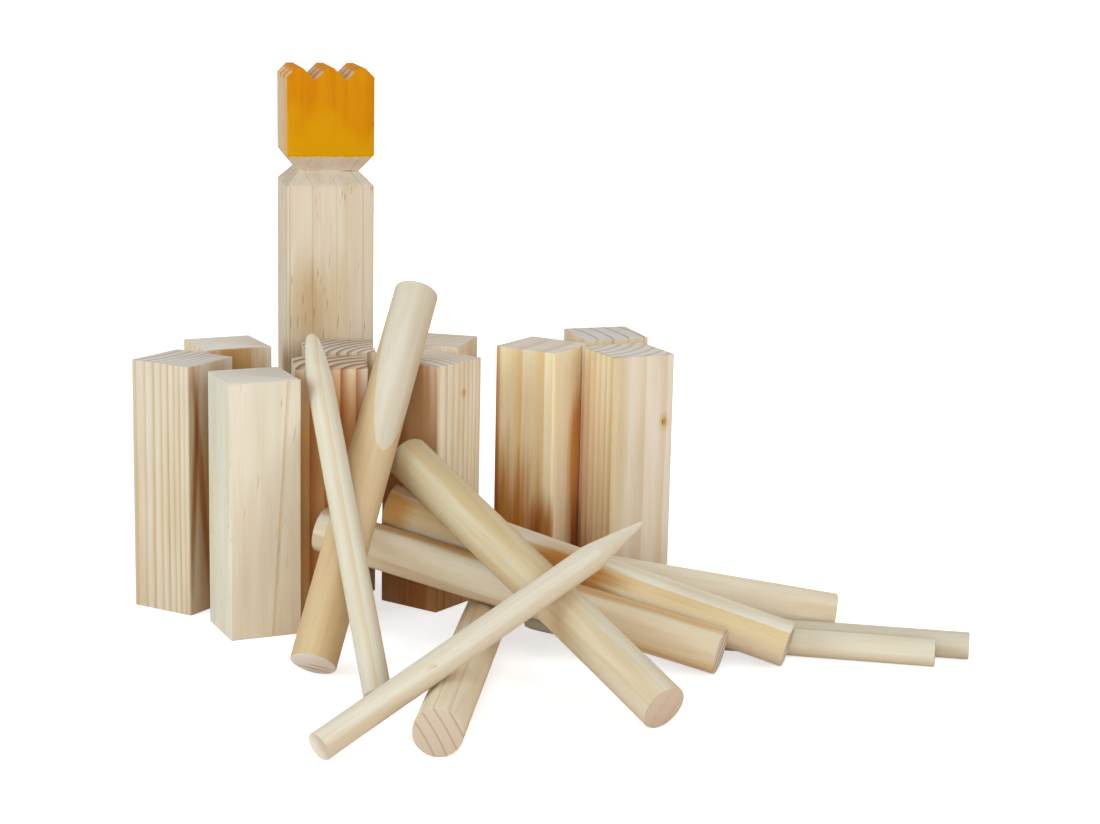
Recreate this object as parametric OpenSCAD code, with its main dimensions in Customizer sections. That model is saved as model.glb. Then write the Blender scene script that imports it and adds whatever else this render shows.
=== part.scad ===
// Kubb lawn game set: a king, ten kubbs, six throwing batons and four pointed field stakes,
// standing and lying together in one pile. Millimetres, +Z up, the king's front face toward -Y.
// The origin is the middle of the king's base, and every piece is drawn where it lies.

/* [Part] */
// Piece to draw, or all of them

/* [King] */
// Side of the king's square section
king_side = 66; // [50:1:90]
// Height of the king up to the tips of its crown
king_height = 389; // [260:1:450]
// Height of the head above the neck notch
head_height = 65; // [45:1:90]
// Height of the neck notch where it opens on each face
notch_opening = 23; // [12:1:30]
// Depth of the neck notch, as a share of the king's side
notch_share = 0.155; // [0.08:0.005:0.22]
// Depth of the two crown grooves, as a share of the king's side
groove_share = 0.137; // [0.08:0.001:0.16]
// Flat top of each crown tooth, as a share of the king's side
tooth_share = 0.081; // [0.04:0.001:0.12]

/* [Kubbs] */
// Side of each kubb's square section
kubb_side = 52; // [40:1:75]
// Height of each kubb
kubb_height = 184; // [120:1:230]
// Rounding of the long edges of the king and the kubbs
edge_round = 1.5; // [0.5:0.1:4]

/* [Batons] */
// Diameter of the throwing batons
baton_diameter = 32; // [24:1:45]
// Length of the throwing batons
baton_length = 300; // [250:1:360]
// Small chamfer around the sawn ends of batons and stakes
end_chamfer = 1; // [0.4:0.1:3]

/* [Stakes] */
// Diameter of the field stakes
stake_diameter = 19; // [12:1:30]
// Length of the field stakes with their points
stake_length = 290; // [240:1:350]
// Length of the blunt, rounded points
blunt_point = 40; // [20:1:70]
// Width left at the tip of a blunt point
blunt_tip = 7; // [3:0.5:12]
// Length of the sharp, straight points
sharp_point = 50; // [20:1:80]
// Width left at the tip of a sharp point
sharp_tip = 2.5; // [1:0.5:6]

/* [Pile] */
// Room left where a stick rests on another piece
rest_gap = 0.3; // [0.2:0.05:1]
// Kubbs: x and y of the middle of the base, and the turn about the upright
kubb_1_at = [-116.4, -97.9, 47.2];
kubb_2_at = [-71.6, -168.6, 12];
kubb_3_at = [-78.9, -40.3, 13.8];
kubb_4_at = [-13.1, -126.2, -3.3];
kubb_5_at = [2, -63.4, -2.5];
kubb_6_at = [64, -117.3, 42.2];
kubb_7_at = [79.7, -42.9, 63];
kubb_8_at = [157.5, -72.7, 45.6];
kubb_9_at = [216.5, -102.3, 13.1];
kubb_10_at = [217.7, -28, 5.9];
// Sticks held by their foot: x and y of the foot, and the heading from the foot to the other end
baton_1_at = [-45.3, -291.2, 61.1];
stake_1_at = [-10.6, -350.7, 94.7];
stake_2_at = [-61, -445, 30.3];
// Sticks held by the end inside the pile: x and y of that end, and the heading from the foot to it
baton_2_at = [-25.3, -174.6, 149.7];
baton_3_at = [36.7, -175.8, 116.3];
baton_4_at = [24.1, -177, 151.8];
baton_5_at = [104.1, -165.9, 71.9];
baton_6_at = [50.4, -167.7, 162.9];
stake_3_at = [116.2, -214.6, 156.4];
stake_4_at = [145.2, -205.2, 156.9];

/* [Hidden] */
$fn = 72;
// Lets a cutting body stand out of the face it cuts
over = 1;
// Bands that make up a rounded point
point_bands = 8;
// Height of the neck notch's bottom line, as a share of its opening
notch_low = 0.45;
// How fast a point thickens behind its tip: 1 is a straight cone, less is fuller
blunt_fullness = 0.62;
sharp_fullness = 0.92;
// Shapes of a stick's end: length of the point, width of its tip, and fullness
no_point = [0, 0, 1];
blunt = [blunt_point, blunt_tip, blunt_fullness];
sharp = [sharp_point, sharp_tip, sharp_fullness];
// Coarse step, steepest tilt and number of halvings of the search for a resting tilt
tilt_step = 1;
tilt_limit = 80;
halvings = 18;
// Thirds cut off while looking for the point of a stick nearest to a kubb
third_cuts = 24;
// Turns from a flat stake's heading, and steps, in which it is pushed clear of its neighbours
to_front = 90;
outward = 180;
side_step = 0.25;
out_step = 1;
push_limit = 300;

// Sections that the plan positions above were measured for; thicker pieces spread the plan out
plan_sections = [52, 66, 32, 19];
sections = [kubb_side, king_side, baton_diameter, stake_diameter];
spread = max([1, for (i = [0:3]) sections[i] / plan_sections[i]]);

baton_radius = baton_diameter / 2;
stake_radius = stake_diameter / 2;
groove_depth = king_side * groove_share;
tooth_top = king_side * tooth_share;
tooth_pitch = 2 * groove_depth + tooth_top;
crown_shoulder = king_side / 2 - tooth_pitch - tooth_top / 2;
notch_depth = king_side * notch_share;
notch_top = king_height - head_height;
notch_bottom = notch_top - notch_opening;
notch_vertex = notch_bottom + notch_low * notch_opening;

// Axis of a stick from the middle of its foot to the middle of its other end, lying on the
// ground at the lowest point of its foot; held is true when its place names that other end
function stick_axis(at, radius, length, tilt, held = true) =
  let (
    along = length * [cos(tilt) * cos(at[2]), cos(tilt) * sin(at[2]), sin(tilt)],
    place = [at[0] * spread, at[1] * spread, radius * cos(tilt)],
    foot = held ? place - [along[0], along[1], 0] : place
  )
  [foot, foot + along];

// A whole stick: its place, radius, length, whether the place names its raised end, and tilt
function stick(at, radius, length, held, tilt) =
  [at, radius, length, held, tilt, stick_axis(at, radius, length, tilt, held)];

function clamped(value) = min(1, max(0, value));

// Smallest distance between two straight axes
function axis_gap(p, q) =
  let (
    u = p[1] - p[0],
    v = q[1] - q[0],
    w = p[0] - q[0],
    spare = (u * u) * (v * v) - (u * v) * (u * v),
    first = spare > 1 ? clamped(((u * v) * (v * w) - (u * w) * (v * v)) / spare) : 0,
    t = clamped(((u * v) * first + v * w) / (v * v)),
    s = clamped(((u * v) * t - u * w) / (u * u))
  )
  norm(p[0] + u * s - q[0] - v * t);

// Distance from a point to a kubb's block, below zero inside it
function block_gap(point, at) =
  let (
    x = point[0] - at[0] * spread,
    y = point[1] - at[1] * spread,
    dx = abs(x * cos(at[2]) + y * sin(at[2])) - kubb_side / 2,
    dy = abs(y * cos(at[2]) - x * sin(at[2])) - kubb_side / 2,
    dz = abs(point[2] - kubb_height / 2) - kubb_height / 2
  )
  norm([max(dx, 0), max(dy, 0), max(dz, 0)]) + min(max(dx, dy, dz), 0);

// Radius at a share of a stick's length; a shape names its point's length, tip and fullness
function radius_at(along, radius, length, shape) =
  let (share = shape[0] > 0 ? (1 - along) * length / shape[0] : 1)
  share >= 1 ? radius : shape[1] / 2 + (radius - shape[1] / 2) * pow(share, shape[2]);

// Smallest room between a stick and a kubb, closing in on its nearest point by thirds
function block_room(axis, radius, shape, at, low = 0, high = 1, cuts = third_cuts) =
  let (
    a = low + (high - low) / 3,
    b = high - (high - low) / 3,
    span = axis[1] - axis[0],
    room_a = block_gap(axis[0] + span * a, at) - radius_at(a, radius, norm(span), shape),
    room_b = block_gap(axis[0] + span * b, at) - radius_at(b, radius, norm(span), shape)
  )
  cuts == 0 ? min(room_a, room_b) :
  room_a < room_b ? block_room(axis, radius, shape, at, low, b, cuts - 1) :
  block_room(axis, radius, shape, at, a, high, cuts - 1);

// Smallest room that a stick on this axis has over the sticks and kubbs it rests on
function room(axis, radius, shape, sticks, kubbs) =
  min([
    for (other = sticks) axis_gap(axis, other[5]) - radius - other[1],
    for (at = kubbs) block_room(axis, radius, shape, at)
  ]);

// Lowest tilt that leaves the resting room: stepped up until clear, then halved down to it
function first_clear(at, r, l, held, shape, sticks, kubbs, tilt = 0) =
  tilt >= tilt_limit ? tilt_limit :
  room(stick_axis(at, r, l, tilt, held), r, shape, sticks, kubbs) >= rest_gap ? tilt :
  first_clear(at, r, l, held, shape, sticks, kubbs, tilt + tilt_step);

function halved(at, r, l, held, shape, sticks, kubbs, low, high, left = halvings) =
  let (middle = (low + high) / 2)
  left == 0 ? high :
  room(stick_axis(at, r, l, middle, held), r, shape, sticks, kubbs) >= rest_gap ?
    halved(at, r, l, held, shape, sticks, kubbs, low, middle, left - 1) :
    halved(at, r, l, held, shape, sticks, kubbs, middle, high, left - 1);

function resting(at, radius, length, held, shape, sticks, kubbs = []) =
  let (
    coarse = first_clear(at, radius, length, held, shape, sticks, kubbs),
    tilt = coarse == 0 ? 0 :
      halved(at, radius, length, held, shape, sticks, kubbs, coarse - tilt_step, coarse)
  )
  stick(at, radius, length, held, tilt);

// Moves a place by a distance, in a direction turned from its heading
function moved(at, turn, distance) = [
  at[0] + distance / spread * cos(at[2] + turn),
  at[1] + distance / spread * sin(at[2] + turn),
  at[2]
];

// Pushes a stake that lies flat along step by step until it is clear of the sticks beside it
function pushed(at, turn, distance, sticks, left = push_limit) =
  let (axis = stick_axis(at, stake_radius, stake_length, 0))
  left == 0 || room(axis, stake_radius, no_point, sticks, []) >= rest_gap ? at :
  pushed(moved(at, turn, distance), turn, distance, sticks, left - 1);

// The pile is built up from the ground: each stick rests on the ones named in its list
stick_b5 = stick(baton_5_at, baton_radius, baton_length, true, 0);
stick_b6 = resting(baton_6_at, baton_radius, baton_length, true, no_point, [stick_b5]);
stick_b2 = resting(baton_2_at, baton_radius, baton_length, true, no_point,
  [stick_b5, stick_b6]);
stick_b4 = resting(baton_4_at, baton_radius, baton_length, true, no_point,
  [stick_b5, stick_b6, stick_b2]);
stick_b3 = resting(baton_3_at, baton_radius, baton_length, true, no_point,
  [stick_b5, stick_b6, stick_b2, stick_b4]);
stick_s2 = resting(stake_2_at, stake_radius, stake_length, false, sharp,
  [stick_b5, stick_b2, stick_b3, stick_b4]);
stick_b1 = resting(baton_1_at, baton_radius, baton_length, false, no_point,
  [stick_b2, stick_b3, stick_b4], [kubb_6_at]);
stick_s1 = resting(stake_1_at, stake_radius, stake_length, false, blunt,
  [stick_b1, stick_b2, stick_b3], [kubb_4_at]);

// Stake 4 lies in front of baton 6, and stake 3 in front of stake 4 and clear of baton 4's foot
place_s4 = pushed(stake_4_at, to_front, side_step, [stick_b6]);
stick_s4 = stick(place_s4, stake_radius, stake_length, true, 0);
place_s3 = pushed(pushed(stake_3_at, to_front, side_step, [stick_s4, stick_b5]),
  outward, out_step, [stick_s4, stick_b5, stick_b4]);
stick_s3 = stick(place_s3, stake_radius, stake_length, true, 0);

// Upright square bar with rounded long edges, standing on the ground
module bar(side, height) {
  flat = side - 2 * edge_round;
  translate([-side / 2, -flat / 2, 0])
    cube([side, flat, height]);
  translate([-flat / 2, -side / 2, 0])
    cube([flat, side, height]);
  for (x = [-1, 1], y = [-1, 1])
    translate([x * flat / 2, y * flat / 2, 0])
      cylinder(r = edge_round, h = height);
}

// Three-cornered bar along Y, point down, which cuts one crown groove
module groove_cut() {
  reach = groove_depth + over;
  translate([0, 0, king_height - groove_depth])
    rotate([90, 0, 0])
      linear_extrude(height = king_side + 2 * over, center = true)
        polygon([[0, 0], [reach, reach], [-reach, reach]]);
}

// Bar along Y that cuts the sloping shoulder outside the last tooth on the right
module shoulder_cut() {
  reach = crown_shoulder + over;
  translate([king_side / 2 - crown_shoulder, 0, king_height])
    rotate([90, 0, 0])
      linear_extrude(height = king_side + 2 * over, center = true)
        polygon([[-over, over], [reach, -reach], [reach, over]]);
}

// Bar along X that cuts the neck notch in the front face
module notch_cut() {
  rise = (notch_top - notch_vertex) / notch_depth * over;
  fall = (notch_vertex - notch_bottom) / notch_depth * over;
  translate([0, -king_side / 2, 0])
    rotate([90, 0, 90])
      linear_extrude(height = king_side + 2 * over, center = true)
        polygon([[-over, notch_top + rise], [notch_depth, notch_vertex],
          [-over, notch_bottom - fall]]);
}

module king() {
  color("Goldenrod")
    difference() {
      bar(king_side, king_height);
      for (side = [-1, 1])
        translate([side * tooth_pitch / 2, 0, 0])
          groove_cut();
      shoulder_cut();
      mirror([1, 0, 0])
        shoulder_cut();
      for (turn = [0:90:270])
        rotate([0, 0, turn])
          notch_cut();
    }
}

module kubb(at) {
  color("BurlyWood")
    translate([at[0] * spread, at[1] * spread, 0])
      rotate([0, 0, at[2]])
        bar(kubb_side, kubb_height);
}

// Puts a turned piece, drawn upright from its foot, on a stick's axis
module on_axis(of_stick) {
  translate(of_stick[5][0])
    rotate([0, 90 - of_stick[4], of_stick[0][2]])
      children();
}

module baton(of_stick) {
  color("Wheat")
    on_axis(of_stick)
      rotate_extrude()
        polygon([[0, 0], [baton_radius - end_chamfer, 0], [baton_radius, end_chamfer],
          [baton_radius, baton_length - end_chamfer],
          [baton_radius - end_chamfer, baton_length], [0, baton_length]]);
}

module stake(of_stick, shape) {
  bands = [for (i = [point_bands:-1:0]) 1 - shape[0] / stake_length * i / point_bands];
  behind_tip = [for (along = bands)
    [radius_at(along, stake_radius, stake_length, shape), along * stake_length]];
  color("Tan")
    on_axis(of_stick)
      rotate_extrude()
        polygon(concat([[0, 0], [stake_radius - end_chamfer, 0], [stake_radius, end_chamfer]],
          behind_tip, [[0, stake_length]]));
}

module kubb_1() { kubb(kubb_1_at); }
module kubb_2() { kubb(kubb_2_at); }
module kubb_3() { kubb(kubb_3_at); }
module kubb_4() { kubb(kubb_4_at); }
module kubb_5() { kubb(kubb_5_at); }
module kubb_6() { kubb(kubb_6_at); }
module kubb_7() { kubb(kubb_7_at); }
module kubb_8() { kubb(kubb_8_at); }
module kubb_9() { kubb(kubb_9_at); }
module kubb_10() { kubb(kubb_10_at); }
module baton_1() { baton(stick_b1); }
module baton_2() { baton(stick_b2); }
module baton_3() { baton(stick_b3); }
module baton_4() { baton(stick_b4); }
module baton_5() { baton(stick_b5); }
module baton_6() { baton(stick_b6); }
module stake_1() { stake(stick_s1, blunt); }
module stake_2() { stake(stick_s2, sharp); }
module stake_3() { stake(stick_s3, blunt); }
module stake_4() { stake(stick_s4, sharp); }

king();
kubb_1();
kubb_2();
kubb_3();
kubb_4();
kubb_5();
kubb_6();
kubb_7();
kubb_8();
kubb_9();
kubb_10();
baton_1();
baton_2();
baton_3();
baton_4();
baton_5();
baton_6();
stake_1();
stake_2();
stake_3();
stake_4();
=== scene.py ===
import math
import bmesh
import bpy
from mathutils import Matrix, Vector


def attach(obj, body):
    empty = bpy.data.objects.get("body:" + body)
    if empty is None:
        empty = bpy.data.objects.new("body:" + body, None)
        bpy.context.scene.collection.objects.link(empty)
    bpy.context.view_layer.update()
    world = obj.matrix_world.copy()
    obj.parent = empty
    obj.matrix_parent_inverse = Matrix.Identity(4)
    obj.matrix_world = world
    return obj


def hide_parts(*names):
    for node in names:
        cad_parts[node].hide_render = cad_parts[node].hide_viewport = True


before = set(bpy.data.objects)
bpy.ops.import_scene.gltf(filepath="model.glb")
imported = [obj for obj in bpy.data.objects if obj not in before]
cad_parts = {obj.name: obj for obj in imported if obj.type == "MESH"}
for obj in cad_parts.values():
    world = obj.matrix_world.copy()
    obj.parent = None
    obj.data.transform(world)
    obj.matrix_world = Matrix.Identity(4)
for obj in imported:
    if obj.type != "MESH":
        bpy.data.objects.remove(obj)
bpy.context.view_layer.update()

mm = 0.001               # sizes and places of the pieces are given in millimetres
near = 0.01 * mm         # points closer than this count as in one place
alongAxis = 0.99         # a direction whose share is above this runs along the axis
acrossAxis = 0.01        # and one whose share is below this lies square to it
smoothAngle = 35         # degrees between two faces up to which they shade as one
print("frame loaded:", len(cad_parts), "pieces")


def deselectAll():
    if bpy.context.object and bpy.context.object.mode != "OBJECT":
        bpy.ops.object.mode_set(mode="OBJECT")
    bpy.ops.object.select_all(action="DESELECT")


def activate(piece):
    deselectAll()
    piece.select_set(True)
    bpy.context.view_layer.objects.active = piece


def applyPlace(piece):
    activate(piece)
    bpy.ops.object.transform_apply(location=True, rotation=True, scale=True)


def startBar(name, side, height):
    # A square bar standing on the origin.
    deselectAll()
    bpy.ops.mesh.primitive_cube_add(size=1, location=(0, 0, height / 2))
    piece = bpy.context.object
    piece.name = piece.data.name = name
    piece.scale = (side, side, height)
    applyPlace(piece)
    return piece


def startRod(name, radius, length, sides):
    # A round rod standing on the origin.
    deselectAll()
    bpy.ops.mesh.primitive_cylinder_add(vertices=sides, radius=radius, depth=length,
                                        end_fill_type="NGON", location=(0, 0, length / 2))
    piece = bpy.context.object
    piece.name = piece.data.name = name
    applyPlace(piece)
    return piece


def choose(piece, test, kind="EDGE"):
    # Selects in edit mode what passes the test with its middle and its direction, which is
    # an edge's own and the normal of a vertex or face.
    bpy.ops.mesh.select_mode(type=kind)
    bpy.ops.mesh.select_all(action="DESELECT")
    shape = bmesh.from_edit_mesh(piece.data)
    for part in {"VERT": shape.verts, "EDGE": shape.edges, "FACE": shape.faces}[kind]:
        if kind == "VERT":
            middle, along = part.co, part.normal
        elif kind == "EDGE":
            first, second = (corner.co for corner in part.verts)
            middle, along = (first + second) / 2, (second - first).normalized()
        else:
            middle, along = part.calc_center_median(), part.normal
        if test(middle, along):
            part.select_set(True)
    shape.select_flush_mode()
    bmesh.update_edit_mesh(piece.data)


def editPiece(piece):
    activate(piece)
    bpy.ops.object.mode_set(mode="EDIT")


def bevelChosen(width, steps):
    bpy.ops.mesh.bevel(offset=width * mm, segments=steps, affect="EDGES")


def roundEdges(piece, size):
    # A small bevel on every edge sharper than the size's edge angle, applied.
    bevel = piece.modifiers.new("edges", "BEVEL")
    bevel.width = size["edgeRound"] * mm
    bevel.segments = size["edgeSteps"]
    bevel.limit_method = "ANGLE"
    bevel.angle_limit = math.radians(size["edgeAngle"])
    bpy.ops.object.modifier_apply(modifier=bevel.name)


def finishPiece(piece, node, material):
    piece.data.materials.clear()
    piece.data.materials.append(material)
    activate(piece)
    bpy.ops.object.shade_smooth_by_angle(angle=math.radians(smoothAngle))
    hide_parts(node)
    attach(piece, node)


def colour(rgb):
    # 8-bit screen colour to the linear colour that nodes take, by the sRGB curve.
    def linear(c):
        c /= 255
        return c / 12.92 if c <= 0.04045 else ((c + 0.055) / 1.055) ** 2.4
    return tuple(linear(c) for c in rgb) + (1.0,)


def addNode(tree, kind, **settings):
    made = tree.nodes.new("ShaderNode" + kind)
    for name, value in settings.items():
        setattr(made, name, value)
    return made


def feed(tree, socket, value):
    if isinstance(value, bpy.types.NodeSocket):
        tree.links.new(value, socket)
    else:
        socket.default_value = value


def maths(tree, operation, *values):
    made = addNode(tree, "Math", operation=operation)
    for socket, value in zip(made.inputs, values):
        feed(tree, socket, value)
    return made.outputs[0]


def vectorMaths(tree, operation, *values):
    made = addNode(tree, "VectorMath", operation=operation)
    for socket, value in zip(made.inputs, values):
        feed(tree, socket, value)
    return made.outputs["Value" if operation == "LENGTH" else "Vector"]


def remap(tree, value, fromLow, fromHigh, toLow=0.0, toHigh=1.0, smooth=True):
    made = addNode(tree, "MapRange", interpolation_type="SMOOTHSTEP" if smooth else "LINEAR")
    for socket, given in zip(made.inputs, (value, fromLow, fromHigh, toLow, toHigh)):
        feed(tree, socket, given)
    return made.outputs[0]


def centred(tree, value, swing=1.0):
    # Takes noise between 0 and 1 to a swing of this much either way of zero.
    return maths(tree, "MULTIPLY_ADD", value, 2 * swing, -swing)


def mixColours(tree, amount, first, second, blend="MIX"):
    # The colours of a Mix node are its inputs 6 and 7 and its output 2.
    made = addNode(tree, "Mix", data_type="RGBA", blend_type=blend)
    for socket, given in zip((made.inputs[0], made.inputs[6], made.inputs[7]),
                             (amount, first, second)):
        feed(tree, socket, given)
    return made.outputs[2]


def separate(tree, vector):
    parts = addNode(tree, "SeparateXYZ")
    feed(tree, parts.inputs[0], vector)
    return parts.outputs


# Noise patterns: repeats per millimetre along X, Y and Z, shift for each step of the seed
# (none for 0), detail and roughness.
patterns = {
    "ringBend": ((0.022, 0.022, 0.006), 1.0, 1.0, 0.5),
    "ringRipple": ((0.12, 0.12, 0.012), 1.7, 2.0, 0.5),
    "streak": ((1.3, 1.3, 0.02), 2.3, 3.0, 0.6),
    "drift": ((0.05, 0.05, 0.005), 3.1, 2.0, 0.5),
    "mottle": ((0.12, 0.12, 0.009), 7.7, 2.0, 0.5),
    "tickWave": ((0.02, 0.02, 0.02), 4.3, 1.0, 0.5),
    "saw": ((0.06, 1.7, 0.0), 1.3, 2.0, 0.6),
    "pores": ((2.6, 2.6, 0.0), 0.0, 3.0, 0.7),
    "ragged": ((0.22, 0.22, 0.012), 6.1, 2.0, 0.5),
    "paintHem": ((0.3, 0.3, 0.0), 0.0, 2.0, 0.5),
    "paintStrokes": ((0.16, 0.16, 0.012), 0.0, 3.0, 0.6),
    "paintPool": ((0.04, 0.04, 0.03), 0.0, 1.0, 0.5),
}
seedShares = (1.0, 0.37, 0.71)    # share of a pattern's shift along X, Y and Z


def patternNoise(tree, vector, pattern, seed=0.0):
    # Stretched noise. Its shift makes the pattern differ from piece to piece.
    scale, factor, detail, roughness = patterns[pattern]
    place = vectorMaths(tree, "MULTIPLY", vector, scale)
    if factor:
        shift = addNode(tree, "CombineXYZ")
        for axis, share in enumerate(seedShares):
            feed(tree, shift.inputs[axis], maths(tree, "MULTIPLY", seed, share * factor))
        place = vectorMaths(tree, "ADD", place, shift.outputs[0])
    made = addNode(tree, "TexNoise")
    feed(tree, made.inputs["Vector"], place)
    for name, value in (("Scale", 1.0), ("Detail", detail), ("Roughness", roughness)):
        feed(tree, made.inputs[name], value)
    return made.outputs[0]


def startGroup(name, inputs, outputs):
    # A node group whose sockets take numbers, apart from those named here.
    vectors = ("Vector", "Slanted", "Centre", "Reach")
    tree = bpy.data.node_groups.new(name, "ShaderNodeTree")
    for direction, sockets in (("INPUT", inputs), ("OUTPUT", outputs)):
        for socketName in sockets:
            kind = "NodeSocketVector" if socketName in vectors else "NodeSocketFloat"
            tree.interface.new_socket(socketName, in_out=direction, socket_type=kind)
    taken = tree.nodes.new("NodeGroupInput")
    given = tree.nodes.new("NodeGroupOutput")
    return tree, taken.outputs, given.inputs


def placeGroup(tree, group, **values):
    made = tree.nodes.new("ShaderNodeGroup")
    made.node_tree = group
    for name, value in values.items():
        feed(tree, made.inputs[name], value)
    return made.outputs


rippleSwing = 0.25       # swing of the rings' fine ripple, where their slow bend has 1


def buildGrowthRings():
    # Year rings round a pith line that may lean. Lengths are in millimetres.
    tree, taken, given = startGroup(
        "growthRings",
        ("Vector", "PithX", "PithY", "LeanX", "LeanY", "Start", "Spacing", "Tighten", "Wobble",
         "LateStart", "LateFull", "Edge", "Seed"),
        ("Late", "Tone"))
    x, y, z = separate(tree, taken["Vector"])

    def fromPith(place, pith, lean):
        return maths(tree, "SUBTRACT", maths(tree, "SUBTRACT", place, taken[pith]),
                     maths(tree, "MULTIPLY", taken[lean], z))

    acrossX, acrossY = fromPith(x, "PithX", "LeanX"), fromPith(y, "PithY", "LeanY")
    radius = maths(tree, "SQRT", maths(tree, "ADD", maths(tree, "MULTIPLY", acrossX, acrossX),
                                       maths(tree, "MULTIPLY", acrossY, acrossY)))
    slow = patternNoise(tree, taken["Vector"], "ringBend", taken["Seed"])
    fine = patternNoise(tree, taken["Vector"], "ringRipple", taken["Seed"])
    bend = maths(tree, "ADD", centred(tree, slow), centred(tree, fine, rippleSwing))
    radius = maths(tree, "ADD", radius, maths(tree, "MULTIPLY", bend, taken["Wobble"]))
    grown = maths(tree, "SUBTRACT", radius, taken["Start"])
    cubed = maths(tree, "MULTIPLY", maths(tree, "MULTIPLY", grown, grown), grown)
    phase = maths(tree, "ADD", maths(tree, "DIVIDE", grown, taken["Spacing"]),
                  maths(tree, "MULTIPLY", cubed, taken["Tighten"]))
    index = maths(tree, "FLOOR", phase)
    share = maths(tree, "SUBTRACT", phase, index)
    # Late wood darkens slowly outward and ends sharply, within the edge's width.
    falls = maths(tree, "DIVIDE", taken["Edge"], taken["Spacing"])
    falls = maths(tree, "SUBTRACT", 1.0, falls)
    full = maths(tree, "MINIMUM", falls, taken["LateFull"])
    rise = remap(tree, share, taken["LateStart"], full)
    fall = remap(tree, share, falls, 1.0, 1.0, 0.0)
    random = addNode(tree, "TexWhiteNoise", noise_dimensions="1D")
    feed(tree, random.inputs["W"], maths(tree, "ADD", index, taken["Seed"]))
    feed(tree, given["Late"], maths(tree, "MULTIPLY", rise, fall))
    feed(tree, given["Tone"], random.outputs[0])
    return tree


# Resin ticks: cells per millimetre, their shift for each step of the seed, a tick's dark core
# and outer rim as shares of a cell, and how softly a tick comes in with the share of ticks.
tickCells = {"scale": (0.55, 0.55, 0.034), "shift": (5.1, 1.9, 3.6), "core": 0.05,
             "rim": 0.24, "fade": 0.1}


def buildPineFibre():
    # Fine fibre streaks, broad colour drift and short dark resin ticks along the length.
    tree, taken, given = startGroup("pineFibre", ("Vector", "Slanted", "Share", "Seed"),
                                    ("Streak", "Drift", "Mottle", "Tick"))
    for name in ("Streak", "Drift", "Mottle"):
        feed(tree, given[name],
             patternNoise(tree, taken["Vector"], name.lower(), taken["Seed"]))
    wavy = patternNoise(tree, taken["Vector"], "tickWave", taken["Seed"])
    narrow = vectorMaths(tree, "MULTIPLY", taken["Slanted"], tickCells["scale"])
    shift = addNode(tree, "CombineXYZ")
    for axis, factor in enumerate(tickCells["shift"]):
        feed(tree, shift.inputs[axis],
             maths(tree, "MULTIPLY_ADD", taken["Seed"], factor, wavy))
    cells = addNode(tree, "TexVoronoi", feature="F1")
    feed(tree, cells.inputs["Vector"], vectorMaths(tree, "ADD", narrow, shift.outputs[0]))
    feed(tree, cells.inputs["Scale"], 1.0)
    picks = addNode(tree, "SeparateColor")
    feed(tree, picks.inputs[0], cells.outputs["Color"])
    core = remap(tree, cells.outputs["Distance"], tickCells["core"], tickCells["rim"],
                 1.0, 0.0)
    kept = remap(tree, maths(tree, "ADD", picks.outputs[0], taken["Share"]), 1.0,
                 1.0 + tickCells["fade"])
    feed(tree, given["Tick"], maths(tree, "MULTIPLY", core, kept))
    return tree


# How deep in millimetres a sawn end shows, fully and at most, and how far the saw's lines
# are turned in degrees.
sawnFace = {"full": 0.15, "deepest": 0.35, "turn": 28}


def buildSawnEnd():
    # Masks the two sawn ends and marks them with the saw's fine lines.
    tree, taken, given = startGroup("sawnEnd", ("Vector", "Length", "Seed"),
                                    ("Mask", "Saw", "Pores"))
    z = separate(tree, taken["Vector"])[2]
    depth = maths(tree, "MINIMUM", z, maths(tree, "SUBTRACT", taken["Length"], z))
    feed(tree, given["Mask"],
         remap(tree, depth, sawnFace["full"], sawnFace["deepest"], 1.0, 0.0))
    turned = addNode(tree, "Mapping", vector_type="POINT")
    feed(tree, turned.inputs["Vector"], taken["Vector"])
    turned.inputs["Rotation"].default_value = (0, 0, math.radians(sawnFace["turn"]))
    feed(tree, given["Saw"], patternNoise(tree, turned.outputs[0], "saw", taken["Seed"]))
    feed(tree, given["Pores"], patternNoise(tree, taken["Vector"], "pores"))
    return tree


def buildShadeAndMarkZone():
    # A soft place where the colour takes a tint: mostly painted shade, also knots, cracks,
    # streaks and a speck on the paint.
    tree, taken, given = startGroup(
        "shadeAndMarkZone", ("Vector", "Centre", "Reach", "LeanX", "Inner", "Ragged", "Seed"),
        ("Mask",))
    offset = vectorMaths(tree, "SUBTRACT", taken["Vector"], taken["Centre"])
    lean = addNode(tree, "CombineXYZ")
    feed(tree, lean.inputs[0],
         maths(tree, "MULTIPLY", separate(tree, offset)[2], taken["LeanX"]))
    offset = vectorMaths(tree, "SUBTRACT", offset, lean.outputs[0])
    away = vectorMaths(tree, "LENGTH", vectorMaths(tree, "DIVIDE", offset, taken["Reach"]))
    streaky = patternNoise(tree, taken["Vector"], "ragged", taken["Seed"])
    away = maths(tree, "MULTIPLY_ADD", centred(tree, streaky), taken["Ragged"], away)
    feed(tree, given["Mask"], remap(tree, away, taken["Inner"], 1.0, 1.0, 0.0))
    return tree


growthRings = buildGrowthRings()
pineFibre = buildPineFibre()
sawnEnd = buildSawnEnd()
shadeAndMarkZone = buildShadeAndMarkZone()
print("wood effects built")

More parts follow.
